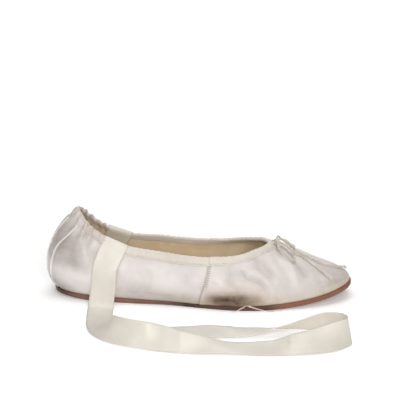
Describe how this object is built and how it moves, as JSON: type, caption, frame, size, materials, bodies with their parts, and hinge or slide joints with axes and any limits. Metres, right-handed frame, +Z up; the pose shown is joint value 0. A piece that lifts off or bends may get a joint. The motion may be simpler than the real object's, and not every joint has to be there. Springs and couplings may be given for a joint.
{
  "type": "ballet flat",
  "caption": "Soft satin ballet flat for the right foot, with a thin leather sole, a gathered collar with a drawstring bow, and satin ankle ribbons lying untied.",
  "frame": {"origin": "on the floor under the middle of the shoe's box, ribbons and drawstring left out", "axes": "+X to the toe, +Y to the inner (medial) side of the foot, +Z up"},
  "size_m": [0.2458, 0.2793, 0.069],
  "materials": {
    "upper_satin": "pale satin with a soft sheen",
    "outsole_leather": "worn brown leather, cut edge",
    "insole_leather": "smooth tan lining leather",
    "ribbon_satin": "ivory satin ribbon",
    "drawstring_cotton": "off-white waxed cotton cord"
  },
  "bodies": {
    "root": {"upper": "upper_satin", "outsole": "outsole_leather", "insole": "insole_leather", "ribbon_lateral": "ribbon_satin", "ribbon_medial": "ribbon_satin", "drawstring_knot": "drawstring_cotton", "drawstring_loop_lateral": "drawstring_cotton", "drawstring_loop_medial": "drawstring_cotton", "drawstring_end_lateral": "drawstring_cotton", "drawstring_end_medial": "drawstring_cotton"}
  },
  "joints": []
}
